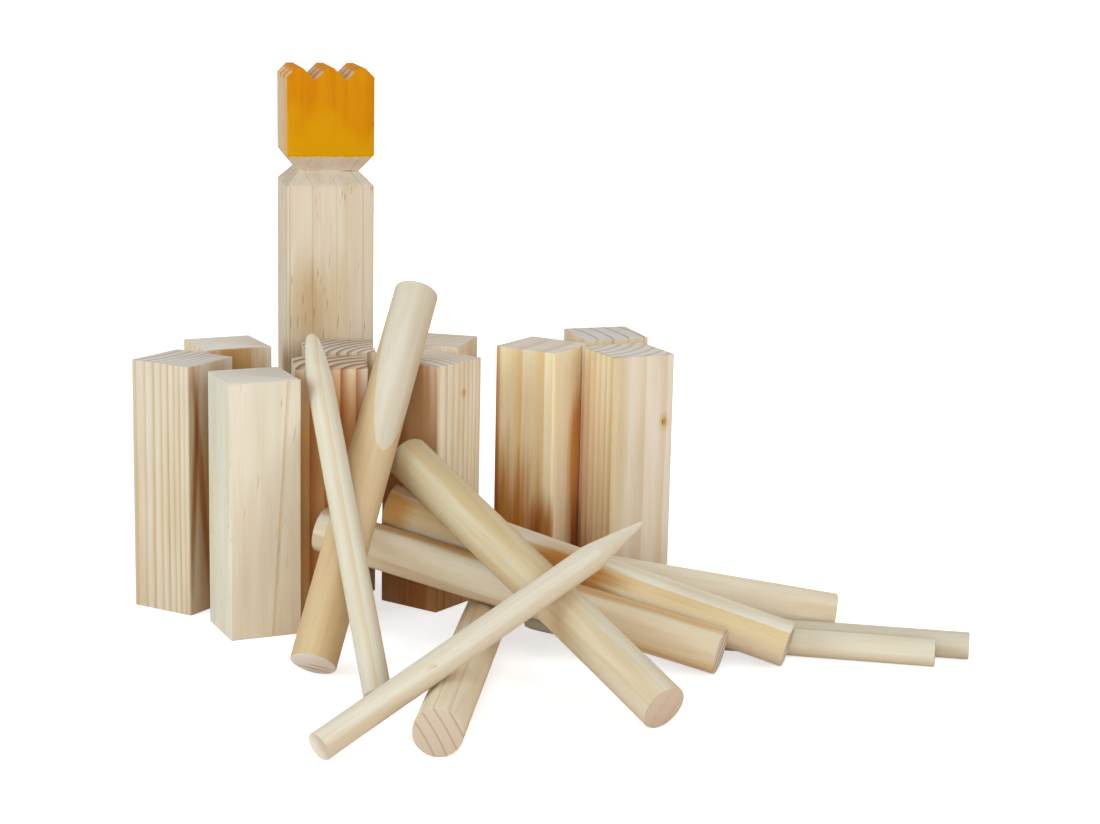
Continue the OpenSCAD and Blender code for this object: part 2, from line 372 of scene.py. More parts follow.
# Grain that a piece has unless it gives its own, in millimetres and 8-bit colours. Rings lie
# round the pith, one of them begins at the radius start, and tighten narrows them away from
# it. Each darkens from lateStart to lateFull of its width, by late at most, and by lateLeast
# of that at least.
plainGrain = {
    "pith": (0, 120), "lean": (0.0, 0.0), "start": 90, "spacing": 9, "tighten": 0.0,
    "wobble": 1.2, "edge": 0.5, "lateStart": 0.35, "lateFull": 1.0, "late": 0.6,
    "lateLeast": 0.55, "pale": (222, 206, 176), "dark": (196, 158, 102),
    "endPale": (216, 203, 184), "endDark": (160, 132, 114), "endLate": 0.6,
    "ticks": 0.2, "tickShare": 0.3, "tickDark": 0.8, "tickColour": (136, 104, 70),
    "slant": (0.0, 0.0),
    "drift": 0.3, "driftRange": (0.4, 0.7), "driftTint": (228, 208, 168),
    "mottle": 0.3, "mottleRange": (0.42, 0.68), "mottleTint": (232, 208, 166),
    "streak": 0.16, "streakRange": (0.3, 0.7), "streakTint": (222, 204, 176),
    "pores": 0.3, "poresRange": (0.35, 0.75), "poresTint": (190, 170, 150),
    "smooth": 0.52, "rough": 0.66, "endRough": 0.15, "gloss": 0.2,
    "relief": 0.12, "lateRelief": 0.35, "sawRelief": 1.6, "bump": 0.5,
    "zones": (), "seed": 0.0,
}
# A zone multiplies the wood's colour by its tint, round a place and as far as it reaches
# each way: fully within its inner share, and with a rim that may be ragged. It may lean to
# +X on its way up. These are the values that it has unless it gives its own.
plainZone = {"lean": 0.0, "inner": 0.3, "ragged": 0.0, "amount": 1.0}


def tinted(tree, values, name, noise, base):
    # Multiplies in the named tint where its noise is high.
    amount = remap(tree, noise, *values[name + "Range"], 0.0, values[name])
    return mixColours(tree, amount, base, colour(values[name + "Tint"]), "MULTIPLY")


def grainColour(tree, local, values, rings, fibre, ends):
    # Long grain: early wood to late wood, each ring a little different.
    least = values["lateLeast"] * values["late"]
    strength = maths(tree, "MULTIPLY", rings["Late"],
                     remap(tree, rings["Tone"], 0.0, 1.0, least, values["late"], smooth=False))
    side = mixColours(tree, strength, colour(values["pale"]), colour(values["dark"]))
    for name in ("drift", "mottle", "streak"):
        side = tinted(tree, values, name, fibre[name.title()], side)
    tick = maths(tree, "MULTIPLY", fibre["Tick"], values["tickDark"] * values["ticks"])
    side = mixColours(tree, tick, side, colour(values["tickColour"]))
    # End grain: greyer, with pores and darker rings.
    endRing = maths(tree, "MULTIPLY", rings["Late"], values["endLate"])
    face = mixColours(tree, endRing, colour(values["endPale"]), colour(values["endDark"]))
    face = tinted(tree, values, "pores", ends["Pores"], face)
    whole = mixColours(tree, ends["Mask"], side, face)
    # Zones tint the wood: painted shade on most pieces, and knots, cracks and streaks.
    for number, own in enumerate(values["zones"]):
        zone = {**plainZone, **own}
        mask = placeGroup(tree, shadeAndMarkZone, Vector=local, Centre=zone["at"],
                          Reach=zone["reach"], LeanX=zone["lean"], Inner=zone["inner"],
                          Ragged=zone["ragged"], Seed=values["seed"] + number)["Mask"]
        whole = mixColours(tree, maths(tree, "MULTIPLY", mask, zone["amount"]), whole,
                           colour(zone["tint"]), "MULTIPLY")
    return whole


def makePine(name, grain, length, place=(0, 0, 0), turn=(0, 0, 0), paint=None):
    # Pine for one piece. Place and turn bring the pattern to where the piece lies.
    values = {**plainGrain, **grain}
    material = bpy.data.materials.new(name)
    material.use_nodes = True
    tree = material.node_tree
    shader = tree.nodes["Principled BSDF"]
    where = addNode(tree, "TexCoord")
    own = addNode(tree, "Mapping", vector_type="TEXTURE")
    feed(tree, own.inputs["Vector"], where.outputs["Object"])
    own.inputs["Location"].default_value = Vector(place) * mm
    own.inputs["Rotation"].default_value = turn
    own.inputs["Scale"].default_value = (mm, mm, mm)
    local = own.outputs[0]

    rings = placeGroup(tree, growthRings, Vector=local, PithX=values["pith"][0],
                       PithY=values["pith"][1], LeanX=values["lean"][0],
                       LeanY=values["lean"][1], Start=values["start"],
                       Spacing=values["spacing"], Tighten=values["tighten"],
                       Wobble=values["wobble"], LateStart=values["lateStart"],
                       LateFull=values["lateFull"], Edge=values["edge"], Seed=values["seed"])
    # Ticks follow fibres that may lean against the piece's own axis.
    along = separate(tree, local)[2]
    lean = addNode(tree, "CombineXYZ")
    for axis in (0, 1):
        feed(tree, lean.inputs[axis], maths(tree, "MULTIPLY", along, values["slant"][axis]))
    leaning = vectorMaths(tree, "SUBTRACT", local, lean.outputs[0])
    fibre = placeGroup(tree, pineFibre, Vector=local, Slanted=leaning,
                       Share=values["tickShare"], Seed=values["seed"])
    ends = placeGroup(tree, sawnEnd, Vector=local, Length=length, Seed=values["seed"])

    whole = grainColour(tree, local, values, rings, fibre, ends)
    if paint:
        whole = paint(tree, local, whole)
    feed(tree, shader.inputs["Base Color"], whole)
    rough = remap(tree, fibre["Streak"], *values["streakRange"], values["smooth"],
                  values["rough"])
    feed(tree, shader.inputs["Roughness"],
         maths(tree, "MULTIPLY_ADD", ends["Mask"], values["endRough"], rough))
    shader.inputs["Specular IOR Level"].default_value = values["gloss"]

    # Late wood and fibres stand a little proud, and the saw scores the ends.
    sideHeight = maths(tree, "MULTIPLY_ADD", rings["Late"], values["lateRelief"],
                       fibre["Streak"])
    endHeight = maths(tree, "MULTIPLY_ADD", ends["Saw"], values["sawRelief"], ends["Pores"])
    height = addNode(tree, "Mix")
    for number, value in ((0, ends["Mask"]), (2, sideHeight), (3, endHeight)):
        feed(tree, height.inputs[number], value)
    bump = addNode(tree, "Bump")
    bump.inputs["Strength"].default_value = values["bump"]
    bump.inputs["Distance"].default_value = values["relief"] * mm
    feed(tree, bump.inputs["Height"], height.outputs[0])
    feed(tree, shader.inputs["Normal"], bump.outputs[0])
    return material


# The king's sizes, its paint and its grain. The paint fades over each pair of distances:
# rim in from the front and back, ridge left of a tooth's middle, crownDepth down from the
# top, lineFade from the middle of a line and beadFade up from the hem. Lines gives the Y
# of each line that runs down a tooth's left flank.
king = {
    "side": 66, "height": 389, "neckTop": 324, "neckVertex": 311.35, "neckBottom": 301,
    "neckDepth": 10.23, "grooveDepth": 9.042, "toothTop": 5.346, "cornerRound": 1.5,
    "cornerSteps": 4, "edgeRound": 0.5, "edgeSteps": 3, "edgeAngle": 28,
    "paint": {
        "coat": (204, 130, 0), "strokeColour": (197, 118, 0), "strokes": (0.35, 0.66),
        "rim": (0.9, 0.5), "hem": 2.8, "hemWave": 2.6, "hemFade": 0.5,
        "ridge": (6.4, 4.2), "crownDepth": (9.6, 9.0),
        "lines": (-13, 9, 31), "lineFade": (3.2, 6.2), "lineAmount": 0.95,
        "lowColour": (206, 143, 0), "lowRange": (0.35, 0.75), "lowAmount": 0.9,
        "lowFall": -0.008, "lowLevel": 2.8,
        "beadColour": (232, 192, 54), "beadFade": (0.4, 1.5), "beadAmount": 0.8,
        "speckColour": (84, 86, 52), "speck": (32.6, -33, 348),
        "speckReach": (0.9, 1.5, 1.4), "speckInner": 0.4},
    "grain": {
        "pith": (66, 11), "start": 45.9, "spacing": 15.3, "late": 0.34, "lateStart": 0.9,
        "edge": 0.7, "wobble": 0.5, "pale": (215, 198, 173), "dark": (150, 122, 94),
        "ticks": 1.0, "tickShare": 0.7, "slant": (0.03, 0), "mottle": 0.15, "gloss": 0.05,
        "seed": 3.0,
        # Painted shade low on the front behind the kubbs and on both slopes of the neck; a
        # warmer tone on the head's left and the crown's bare flanks; painted shade in the
        # neck's crease.
        "zones": (
            {"at": (-16, -33, 198), "reach": (24, 9, 64), "tint": (237, 223, 199),
             "ragged": 0.3},
            {"at": (6, -33, 208), "reach": (13, 9, 60), "tint": (248, 240, 224),
             "ragged": 0.3},
            {"at": (0, 0, 305), "reach": (90, 90, 8), "tint": (240, 240, 242)},
            {"at": (0, 0, 318), "reach": (90, 90, 8), "tint": (242, 240, 248)},
            {"at": (-33, -6, 356), "reach": (5, 40, 60), "tint": (252, 234, 206),
             "inner": 0.8},
            {"at": (0, 0, 388), "reach": (60, 60, 9), "tint": (250, 228, 202)},
            {"at": (15, -23, 311.3), "reach": (9, 3, 0.5), "tint": (160, 140, 128)})},
}
toothPitch = 2 * king["grooveDepth"] + king["toothTop"]    # from one tooth to the next


def paintHead(tree, local, wood):
    # Orange-yellow paint on the head's front and back and over the crown's teeth.
    paint = king["paint"]
    x, y, z = separate(tree, local)
    # It ends just under the head, where the neck's slope runs in.
    slope = king["neckDepth"] / (king["neckTop"] - king["neckVertex"])
    under = maths(tree, "MAXIMUM", maths(tree, "SUBTRACT", king["neckTop"], z), 0.0)
    out = maths(tree, "MULTIPLY_ADD", under, slope, maths(tree, "ABSOLUTE", y))
    onFace = remap(tree, out, *(king["side"] / 2 - inset for inset in paint["rim"]))
    hem = maths(tree, "MULTIPLY_ADD", patternNoise(tree, local, "paintHem"),
                paint["hemWave"], king["neckTop"] - paint["hem"])
    overHem = maths(tree, "SUBTRACT", z, hem)
    # On the crown, tops and right-hand flanks are painted, and down the left-hand ones
    # the paint runs in lines. Teeth are counted from 1.5 pitches left of the axis.
    fromLeft = maths(tree, "ADD", x, 1.5 * toothPitch)
    tooth = maths(tree, "FLOOR", maths(tree, "DIVIDE", fromLeft, toothPitch))
    inTooth = maths(tree, "SUBTRACT", fromLeft, maths(tree, "MULTIPLY", toothPitch, tooth))
    crown = remap(tree, inTooth, *(toothPitch / 2 - left for left in paint["ridge"]))
    for line in paint["lines"]:
        away = maths(tree, "ABSOLUTE", maths(tree, "SUBTRACT", y, line))
        drawn = remap(tree, away, *paint["lineFade"], paint["lineAmount"], 0.0)
        crown = maths(tree, "MAXIMUM", crown, drawn)
    high = remap(tree, z, *(king["height"] - depth for depth in paint["crownDepth"]))
    covered = maths(tree, "MAXIMUM", onFace, maths(tree, "MULTIPLY", crown, high))
    covered = maths(tree, "MULTIPLY", covered, remap(tree, overHem, 0.0, paint["hemFade"]))
    strokes = remap(tree, patternNoise(tree, local, "paintStrokes"), *paint["strokes"])
    coat = mixColours(tree, strokes, colour(paint["coat"]), colour(paint["strokeColour"]))
    # The coat is yellower low on the head, and ends in a thin light bead.
    pool = maths(tree, "ADD", patternNoise(tree, local, "paintPool"), paint["lowLevel"])
    low = remap(tree, maths(tree, "MULTIPLY_ADD", z, paint["lowFall"], pool),
                *paint["lowRange"], 0.0, paint["lowAmount"])
    coat = mixColours(tree, low, coat, colour(paint["lowColour"]))
    bead = remap(tree, overHem, *paint["beadFade"], paint["beadAmount"], 0.0)
    coat = mixColours(tree, bead, coat, colour(paint["beadColour"]))
    speck = placeGroup(tree, shadeAndMarkZone, Vector=local, Centre=paint["speck"],
                       Reach=paint["speckReach"], Inner=paint["speckInner"])["Mask"]
    coat = mixColours(tree, speck, coat, colour(paint["speckColour"]))
    return mixColours(tree, covered, wood, coat)


def makeKing():
    half, height = king["side"] / 2 * mm, king["height"] * mm
    piece = startBar("kingBody", king["side"] * mm, height)
    editPiece(piece)
    for level in ("neckTop", "neckVertex", "neckBottom"):
        bpy.ops.mesh.select_all(action="SELECT")
        bpy.ops.mesh.bisect(plane_co=(0, 0, king[level] * mm), plane_no=(0, 0, 1))
    # The long corners are rounded before the neck is drawn in.
    choose(piece, lambda at, along: abs(along.z) > alongAxis
           and min(abs(at.x), abs(at.y)) > half - near)
    bevelChosen(king["cornerRound"], king["cornerSteps"])
    vertex = king["neckVertex"] * mm
    choose(piece, lambda at, along: abs(at.z - vertex) < near, "VERT")
    shrink = (half - king["neckDepth"] * mm) / half
    bpy.ops.transform.resize(value=(shrink, shrink, 1), center_override=(0, 0, vertex))
    # The crown is cut at the edges and bottoms of its grooves, and the bottoms go down.
    pitch, flat = toothPitch * mm, king["toothTop"] / 2 * mm
    headFoot = king["neckTop"] * mm
    for place in (flat, pitch / 2, pitch - flat):
        for side in (-1, 1):
            choose(piece, lambda at, along: at.z > headFoot + near, "FACE")
            bpy.ops.mesh.bisect(plane_co=(side * place, 0, 0), plane_no=(1, 0, 0))
    choose(piece, lambda at, along: at.z > height - near
           and abs(abs(at.x) - pitch / 2) < near, "VERT")
    bpy.ops.transform.translate(value=(0, 0, -king["grooveDepth"] * mm))
    # The outer shoulders are cut off at 45 degrees.
    for side in (-1, 1):
        bpy.ops.mesh.select_all(action="SELECT")
        bpy.ops.mesh.bisect(plane_co=(side * (pitch + flat), 0, height),
                            plane_no=(side, 0, 1), use_fill=True, clear_outer=True)
    bpy.ops.object.mode_set(mode="OBJECT")
    roundEdges(piece, king)
    pine = makePine("kingPine", king["grain"], king["height"], paint=paintHead)
    finishPiece(piece, "king", pine)


makeKing()
print("king made")

# Size of a kubb, and for each one the middle of its foot, its turn in degrees and its grain.
# On a kubb, the photograph's view shows the faces at -X and -Y.
kubbSize = {"side": 52, "height": 184, "cornerRound": 1.5, "cornerSteps": 4,
            "edgeRound": 0.5, "edgeSteps": 2, "edgeAngle": 50}
kubbs = {
    "kubb_1": {"at": (-116.4, -97.9), "turn": 47.2, "grain": {
        "pith": (6, 146), "start": 120, "spacing": 8.9, "tighten": 1.6e-5, "late": 0.8,
        "pale": (212, 199, 175), "dark": (192, 158, 104), "ticks": 0.0, "mottle": 0.15,
        "endPale": (218, 208, 194), "endDark": (158, 136, 126), "seed": 11.0, "zones": (
            # Painted shade on the -Y face, where kubb 2 stands in front of it.
            {"at": (6, -27, 60), "reach": (30, 7, 155), "tint": (232, 190, 138), "inner": 0.5,
             "ragged": 0.25, "amount": 0.8},
            # Two brown lines in the wood.
            {"at": (-19.5, -26, 100), "reach": (5, 5, 112), "tint": (204, 154, 102),
             "lean": 0.059, "inner": 0.2, "ragged": 0.2},
            {"at": (-12, -26, 100), "reach": (5, 5, 120), "tint": (216, 168, 116),
             "lean": -0.10, "ragged": 0.3, "amount": 0.8})}},
    "kubb_2": {"at": (-71.6, -168.6), "turn": 12.0, "grain": {
        "pith": (150, 90), "lean": (0.065, 0), "start": 146.9, "spacing": 40, "late": 0.75,
        "lateStart": 0.92, "wobble": 0.6, "pale": (230, 218, 194), "dark": (202, 166, 108),
        "endPale": (233, 224, 204), "endLate": 0.0, "ticks": 0.8, "tickShare": 0.35,
        "slant": (0.14, 0), "mottle": 0.15, "seed": 21.0, "zones": (
            # Painted cool light on the -X face, and painted shade over the upper part, fading
            # downward.
            {"at": (-27, 0, 92), "reach": (3, 60, 300), "tint": (244, 250, 253),
             "inner": 0.8},
            {"at": (0, 0, 184), "reach": (60, 60, 160), "tint": (240, 240, 240),
             "inner": 0.1})}},
    "kubb_3": {"at": (-78.9, -40.3), "turn": 13.8, "grain": {
        "pith": (30, 120), "late": 0.35, "endPale": (226, 215, 200), "endLate": 0.15,
        "seed": 31.0, "zones": (
            # Painted shade on the -Y face, where kubbs 1 and 2 stand in front of it.
            {"at": (-4, -27, 130), "reach": (34, 6, 260), "tint": (220, 184, 132),
             "ragged": 0.35},)}},
    "kubb_4": {"at": (-13.1, -126.2), "turn": -3.3, "grain": {
        "pith": (38, -34), "start": 2, "spacing": 10.5, "late": 1.0, "lateStart": 0.25,
        "dark": (178, 117, 74), "endPale": (212, 192, 164), "endDark": (134, 92, 64),
        "endLate": 1.0, "seed": 41.0, "zones": (
            # Painted shade on the -Y face.
            {"at": (0, -27, 80), "reach": (40, 7, 130), "tint": (255, 212, 158),
             "inner": 0.6, "ragged": 0.2},)}},
    "kubb_5": {"at": (2.0, -63.4), "turn": -2.5, "grain": {
        "pith": (52, -44), "start": 2, "spacing": 7.2, "late": 1.0, "lateStart": 0.3,
        "dark": (170, 124, 86), "endDark": (142, 104, 82), "endLate": 0.9, "seed": 51.0}},
    "kubb_6": {"at": (64.0, -117.3), "turn": 42.2, "grain": {
        "pith": (-110, 10), "start": 84, "spacing": 9.5, "tighten": 2.0e-5,
        "pale": (233, 220, 196), "endPale": (222, 211, 196), "seed": 61.0, "zones": (
            # Painted shade on the -X face and low down on the piece.
            {"at": (-27, 4, 80), "reach": (6, 38, 200), "tint": (210, 170, 132),
             "inner": 0.65, "ragged": 0.2},
            {"at": (-16, -20, 0), "reach": (60, 40, 90), "tint": (214, 180, 138),
             "inner": 0.4, "ragged": 0.3},
            # A small knot.
            {"at": (4.6, -26, 160.5), "reach": (4, 3, 5), "tint": (236, 214, 184)})}},
    "kubb_7": {"at": (79.7, -42.9), "turn": 63.0, "grain": {
        "pith": (-110, 0), "start": 80, "spacing": 5.5, "late": 0.5, "seed": 71.0}},
    "kubb_8": {"at": (157.5, -72.7), "turn": 45.6, "grain": {
        "pith": (-12, 150), "start": 12.2, "spacing": 19.5, "late": 0.8,
        "pale": (244, 228, 188), "dark": (228, 186, 116), "endPale": (218, 207, 190),
        "endLate": 0.25, "mottle": 0.2, "seed": 81.0, "zones": (
            # Painted shade low on the -X and -Y faces and where the -Y face nears kubb 9, and
            # slight painted shade over the -Y face.
            {"at": (-28, 26, 12), "reach": (16, 66, 124), "tint": (210, 158, 98),
             "inner": 0.4, "ragged": 0.33},
            {"at": (27, -27, 82), "reach": (34, 10, 104), "tint": (233, 178, 114),
             "inner": 0.7, "ragged": 0.2},
            {"at": (22, -27, 14), "reach": (34, 10, 84), "tint": (180, 132, 94),
             "ragged": 0.4},
            {"at": (-27, -20, 40), "reach": (8, 22, 44), "tint": (204, 162, 118),
             "ragged": 0.3},
            {"at": (-4, -27, 90), "reach": (24, 6, 160), "tint": (246, 242, 248),
             "inner": 0.7},
            # A brown band down the back edge of the -X face.
            {"at": (-27, 27, 60), "reach": (8, 9, 200), "tint": (204, 152, 92),
             "inner": 0.1, "ragged": 0.3})}},
    "kubb_9": {"at": (216.5, -102.3), "turn": 13.1, "grain": {
        "pith": (-40, 60), "start": 6.1, "lateStart": 0.4, "pale": (245, 231, 207),
        "dark": (214, 176, 116), "endPale": (218, 209, 196), "endLate": 0.5, "mottle": 0.15,
        "seed": 91.0, "zones": (
            # Painted shade low on the -X face and over it, where kubb 8 stands beside it, and
            # slight painted shade over the -Y face.
            {"at": (-27, 22, 0), "reach": (8, 34, 66), "tint": (222, 186, 146),
             "ragged": 0.4},
            {"at": (-27, -4, 80), "reach": (6, 30, 400), "tint": (252, 242, 222),
             "inner": 0.6, "ragged": 0.1},
            {"at": (0, -27, 92), "reach": (70, 3, 300), "tint": (237, 237, 238),
             "inner": 0.8},
            # A warmer, darker strip on the -Y face near its -X edge.
            {"at": (-22, -26, 80), "reach": (13, 9, 300), "tint": (242, 232, 208)},
            # A knot with its halo and its dark split.
            {"at": (18.6, -26, 133), "reach": (6, 4, 10), "tint": (246, 232, 206)},
            {"at": (18.6, -26, 133), "reach": (2.8, 3, 4.6), "tint": (218, 200, 168)},
            {"at": (17.2, -26, 132.6), "reach": (0.9, 3, 3.0), "tint": (196, 170, 140),
             "lean": -0.12, "inner": 0.2})}},
    "kubb_10": {"at": (217.7, -28.0), "turn": 5.9, "grain": {
        "pith": (-150, -8), "start": 124, "spacing": 12.5, "lateStart": 0.75,
        "dark": (190, 150, 104), "endPale": (209, 201, 192), "endDark": (126, 116, 110),
        "endLate": 0.8, "seed": 101.0}},
}


def makeKubb(name, kubb):
    side, height = kubbSize["side"] * mm, kubbSize["height"] * mm
    piece = startBar(name.replace("kubb_", "kubbBlock"), side, height)
    editPiece(piece)
    choose(piece, lambda at, along: abs(along.z) > alongAxis)
    bevelChosen(kubbSize["cornerRound"], kubbSize["cornerSteps"])
    bpy.ops.object.mode_set(mode="OBJECT")
    roundEdges(piece, kubbSize)
    place, turn = (*kubb["at"], 0), (0, 0, math.radians(kubb["turn"]))
    piece.location = Vector(place) * mm
    piece.rotation_euler = turn
    applyPlace(piece)
    pine = makePine(name + "Pine", kubb["grain"], kubbSize["height"], place, turn)
    finishPiece(piece, name, pine)


for name, kubb in kubbs.items():
    makeKubb(name, kubb)
print("kubbs made:", len(kubbs))

# Sticks lie from the middle of their foot to that of their other end, where a stake has
# its point. The X side of their grain is turned to the photograph's view.
batonSize = {"radius": 16, "length": 300, "sides": 64, "edgeRound": 1.0, "edgeSteps": 2,
             "edgeAngle": 50}
frontSide = Vector((-0.22, -0.95, 0.20))
batons = {
    "baton_1": {"foot": (-45.30, -291.20, 10.78), "end": (52.39, -114.23, 232.45), "grain": {
        "pith": (-59.8, -29.2), "lean": (-0.135, -0.066), "start": 17.0, "spacing": 90,
        "late": 1.0, "lateStart": 0.37, "lateFull": 0.42, "wobble": 0.6, "edge": 0.3,
        "lateLeast": 1.0, "pale": (214, 201, 177), "dark": (208, 181, 140),
        # The ends are near white: painted light for the foot's end, which faces down into
        # shade.
        "endPale": (255, 252, 246), "endLate": 0.3, "mottle": 0.25, "seed": 111.0,
        "zones": (
            {"at": (10, 6, 30), "reach": (24, 14, 60), "tint": (254, 250, 238),
             "ragged": 0.5},
            # Two drying cracks in the end of the foot.
            {"at": (-8, 0, 0), "reach": (0.8, 15, 2), "tint": (150, 124, 104)},
            {"at": (-2, 4, 0), "reach": (0.7, 12, 2), "tint": (170, 144, 122)})}},
    "baton_2": {"foot": (228.99, -323.20, 15.71), "end": (-25.30, -174.60, 72.78), "grain": {
        "pith": (-40, -14), "lean": (0.02, 0.02), "start": 0, "spacing": 10, "late": 0.7,
        "lateStart": 0.45, "pale": (226, 212, 184), "dark": (206, 176, 132), "endLate": 0.9,
        "seed": 121.0, "zones": (
            {"at": (8, 16, 130), "reach": (16, 7, 260), "tint": (228, 198, 156),
             "ragged": 0.4},
            {"at": (14, -12, 60), "reach": (12, 8, 150), "tint": (248, 236, 214),
             "ragged": 0.4})}},
    "baton_3": {"foot": (160.63, -426.55, 14.92), "end": (36.70, -175.80, 123.40), "grain": {
        "pith": (-45, 12), "lean": (-0.015, 0.01), "start": 0, "spacing": 13, "late": 0.32,
        "pale": (211, 199, 173), "dark": (206, 178, 132), "mottle": 0.4,
        "endPale": (212, 192, 169), "endLate": 0.1, "seed": 131.0, "zones": (
            {"at": (10, 0, 250), "reach": (60, 60, 190), "tint": (250, 243, 228),
             "inner": 0.6, "ragged": 0.2},)}},
    "baton_4": {"foot": (280.43, -314.44, 15.51), "end": (24.10, -177.00, 89.05), "grain": {
        "pith": (-6, -60), "lean": (0.005, 0.0), "start": 37.5, "spacing": 34, "late": 0.8,
        "lateStart": 0.05, "edge": 0.6, "lateLeast": 1.0, "wobble": 0.8,
        "pale": (222, 212, 191), "dark": (212, 182, 124), "seed": 141.0, "zones": (
            # Painted shade where baton 3 and stake 2 lie over it, and on its raised end.
            {"at": (14, 0, 158), "reach": (30, 24, 50), "tint": (212, 162, 94),
             "ragged": 0.5},
            {"at": (16, 0, 300), "reach": (30, 30, 26), "tint": (228, 190, 142),
             "inner": 0.4, "ragged": 0.3})}},
    "baton_5": {"foot": (10.90, -451.05, 16.00), "end": (104.10, -165.90, 16.00), "grain": {
        "pith": (-121, -91), "start": 143.7, "spacing": 7.2, "late": 0.5, "lateStart": 0.7,
        "wobble": 0.6, "endPale": (203, 182, 158), "endDark": (150, 112, 84),
        "endLate": 0.5, "seed": 151.0}},
    "baton_6": {"foot": (334.65, -255.15, 15.86), "end": (50.40, -167.70, 55.27), "grain": {
        "pith": (-70, 10), "start": 0, "spacing": 22, "late": 0.3, "pale": (226, 213, 188),
        "seed": 161.0}},
}


def stickTurn(stick):
    foot, end = Vector(stick["foot"]), Vector(stick["end"])
    along = (end - foot).normalized()
    out = (frontSide - along * frontSide.dot(along)).normalized()
    return Matrix((out, along.cross(out), along)).transposed().to_euler()


def layStick(piece, stick):
    piece.location = Vector(stick["foot"]) * mm
    piece.rotation_euler = stickTurn(stick)
    applyPlace(piece)


def makeBaton(name, baton):
    radius, length = batonSize["radius"] * mm, batonSize["length"] * mm
    piece = startRod(name.replace("baton_", "batonRod"), radius, length, batonSize["sides"])
    roundEdges(piece, batonSize)
    layStick(piece, baton)
    pine = makePine(name + "Pine", baton["grain"], batonSize["length"], baton["foot"],
                    stickTurn(baton))
    finishPiece(piece, name, pine)


for name, baton in batons.items():
    makeBaton(name, baton)
print("batons made:", len(batons))

# A stake's point: its length, the diameter of its tip, its taper, which is 1 for a straight
# cone and less for a fuller point, and the rounding of its tip.
bluntPoint = {"length": 40, "tip": 7, "taper": 0.62, "tipRound": 0.96}
sharpPoint = {"length": 50, "tip": 2.5, "taper": 0.92, "tipRound": 0.48}
stakeSize = {"radius": 9.5, "length": 290, "sides": 48, "bands": 10, "tipSteps": 3,
             "edgeRound": 0.8, "edgeSteps": 2}
stakes = {
    "stake_1": {"foot": (-10.60, -350.70, 6.90), "end": (-27.86, -140.72, 206.18),
                "point": bluntPoint, "grain": {
        "pith": (-10, -60), "start": 45.8, "spacing": 20, "late": 0.5, "lateStart": 0.72,
        "wobble": 0.5, "pale": (214, 203, 178), "mottle": 0.2, "seed": 171.0}},
    "stake_2": {"foot": (-61.00, -445.00, 8.97), "end": (175.49, -306.80, 104.23),
                "point": sharpPoint, "grain": {
        "pith": (-90, 10), "start": 0, "spacing": 25, "late": 0.25, "pale": (221, 211, 190),
        "endPale": (240, 229, 210), "mottle": 0.15, "seed": 181.0, "zones": (
            # A small knot.
            {"at": (9.3, -1.8, 90), "reach": (3, 2.2, 5), "tint": (249, 240, 222)},
            {"at": (9.3, -0.6, 92), "reach": (3, 0.6, 3), "tint": (238, 220, 194)})}},
    "stake_3": {"foot": (381.94, -330.70, 9.50), "end": (116.20, -214.60, 9.50),
                "point": bluntPoint, "grain": {
        "pith": (-90, 10), "start": 0, "spacing": 25, "late": 0.2, "pale": (220, 212, 190),
        "mottle": 0.15, "seed": 191.0}},
    "stake_4": {"foot": (411.95, -318.98, 9.50), "end": (145.20, -205.20, 9.50),
                "point": sharpPoint, "grain": {
        "pith": (-90, 10), "start": 0, "spacing": 19, "late": 0.25, "pale": (206, 196, 173),
        "mottle": 0.15, "seed": 201.0}},
}


def makeStake(name, stake):
    radius, point = stakeSize["radius"] * mm, stake["point"]
    height = (stakeSize["length"] - point["length"]) * mm
    piece = startRod(name.replace("stake_", "stakeRod"), radius, height, stakeSize["sides"])
    editPiece(piece)
    # The point is drawn out in bands, each a little narrower.
    tip, now = point["tip"] / 2 * mm, radius
    step = point["length"] * mm / stakeSize["bands"]
    for band in range(1, stakeSize["bands"] + 1):
        share = 1 - band / stakeSize["bands"]
        wanted = tip + (radius - tip) * share ** point["taper"]
        choose(piece, lambda at, along: at.z > height - near and along.z > alongAxis, "FACE")
        bpy.ops.mesh.extrude_region_move(TRANSFORM_OT_translate={"value": (0, 0, step)})
        height += step
        bpy.ops.transform.resize(value=(wanted / now, wanted / now, 1),
                                 center_override=(0, 0, height))
        now = wanted
    bevelChosen(point["tipRound"], stakeSize["tipSteps"])
    choose(piece, lambda at, along: at.z < near and abs(along.z) < acrossAxis)
    bevelChosen(stakeSize["edgeRound"], stakeSize["edgeSteps"])
    bpy.ops.object.mode_set(mode="OBJECT")
    layStick(piece, stake)
    pine = makePine(name + "Pine", stake["grain"], stakeSize["length"], stake["foot"],
                    stickTurn(stake))
    finishPiece(piece, name, pine)


for name, stake in stakes.items():
    makeStake(name, stake)
print("stakes made:", len(stakes))

